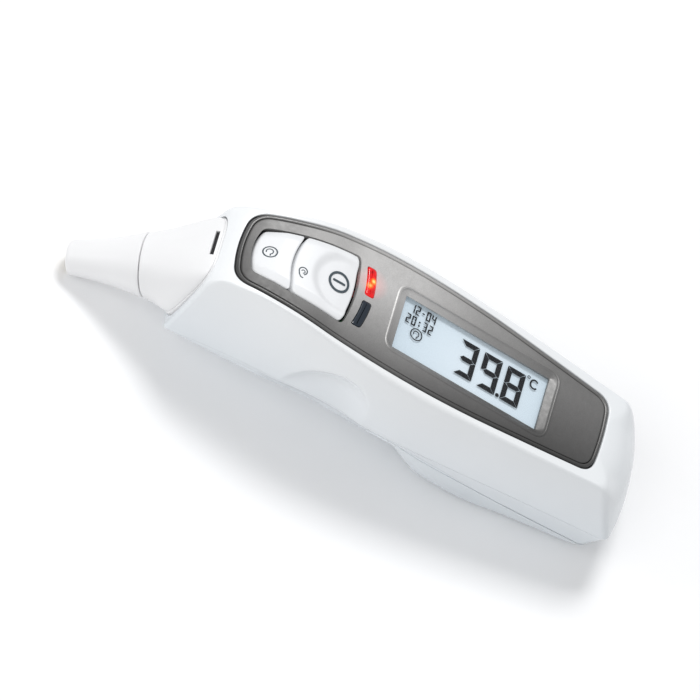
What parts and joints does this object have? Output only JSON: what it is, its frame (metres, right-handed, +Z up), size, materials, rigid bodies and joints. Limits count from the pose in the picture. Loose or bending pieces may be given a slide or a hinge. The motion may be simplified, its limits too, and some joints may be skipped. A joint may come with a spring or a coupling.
{
  "type": "ear thermometer",
  "caption": "Infrared ear thermometer with angled probe cone, two press keys, status lamps, digital display and a battery cover on its back.",
  "frame": {"origin": "on the resting surface, under the middle of the bounding box", "axes": "+X towards the tail, +Y to the far side, +Z up out of the display, with the display leaning 7 degrees"},
  "size_m": [0.1408, 0.0382, 0.0401],
  "materials": {
    "casing_white": "glossy white moulded ABS",
    "probe_white": "satin white moulded plastic",
    "key_white": "satin white key caps",
    "panel_grey": "grey metallic lacquer with a bright rim",
    "lamp_red": "red lamp window, lit",
    "lamp_dark": "dark lamp window, unlit",
    "window_clear": "clear hard-coated display window",
    "lcd": "liquid crystal cell",
    "light_guide": "white light guide",
    "rubber": "conductive rubber strip",
    "black_plastic": "black moulded plastic",
    "circuit_board": "green solder-resist laminate",
    "chip": "black epoxy package",
    "steel": "nickel-plated steel",
    "brass": "turned brass",
    "gold": "gold-plated tube",
    "led_red": "red lamp body",
    "led_green": "green lamp body",
    "ribbon": "amber flexible circuit",
    "cell": "plain blue cell sleeve"
  },
  "bodies": {
    "root": {"battery_a": "cell", "battery_b": "cell", "battery_spring_a": "steel", "battery_spring_b": "steel", "battery_tray": "black_plastic", "buzzer": "chip", "casing_screw_1": "steel", "casing_screw_2": "steel", "casing_screw_3": "steel", "casing_screw_4": "steel", "clock_crystal": "steel", "contact_plate_a": "steel", "contact_plate_b": "steel", "control_panel": "panel_grey", "display_window": "window_clear", "ear_switch_body": "steel", "forehead_switch_body": "steel", "front_casing": "casing_white", "green_lamp_window": "lamp_dark", "green_led": "led_green", "lamp_baffle": "black_plastic", "lcd_backlight": "light_guide", "lcd_cell": "lcd", "lcd_frame": "black_plastic", "main_board": "circuit_board", "microcontroller": "chip", "nose_under_shell": "probe_white", "probe_housing": "probe_white", "probe_nozzle": "probe_white", "rear_casing": "casing_white", "red_lamp_window": "lamp_red", "red_led": "led_red", "sensor_board": "circuit_board", "sensor_holder": "brass", "sensor_ribbon": "ribbon", "thermopile_can": "steel", "tip_film": "window_clear", "waveguide_tube": "gold", "zebra_connector": "rubber"},
    "forehead_key": {"forehead_key": "key_white"},
    "ear_key": {"ear_key": "key_white"},
    "forehead_plunger": {"forehead_switch_plunger": "black_plastic"},
    "ear_plunger": {"ear_switch_plunger": "black_plastic"},
    "cover": {"battery_cover": "casing_white"}
  },
  "joints": [
    {"name": "forehead_key_press", "type": "slide", "parent": "root", "child": "forehead_key", "axis": [-0.1219, 0, -0.9925], "range_m": [0, 0.0006], "stiffness_N_per_m": 1500},
    {"name": "ear_key_press", "type": "slide", "parent": "root", "child": "ear_key", "axis": [-0.1219, 0, -0.9925], "range_m": [0, 0.0006], "stiffness_N_per_m": 1500},
    {"name": "forehead_plunger_press", "type": "slide", "parent": "root", "child": "forehead_plunger", "axis": [-0.1219, 0, -0.9925], "range_m": [0, 0.0006]},
    {"name": "ear_plunger_press", "type": "slide", "parent": "root", "child": "ear_plunger", "axis": [-0.1219, 0, -0.9925], "range_m": [0, 0.0006]},
    {"name": "battery_cover_open", "type": "hinge", "parent": "root", "child": "cover", "pos_m": [0.00571, 0, 0.01742], "axis": [0, 1, 0], "range_deg": [0, 45]}
  ],
  "couplings": [
    {"joint": "forehead_plunger_press", "follows": "forehead_key_press", "ratio": 1},
    {"joint": "ear_plunger_press", "follows": "ear_key_press", "ratio": 1}
  ]
}
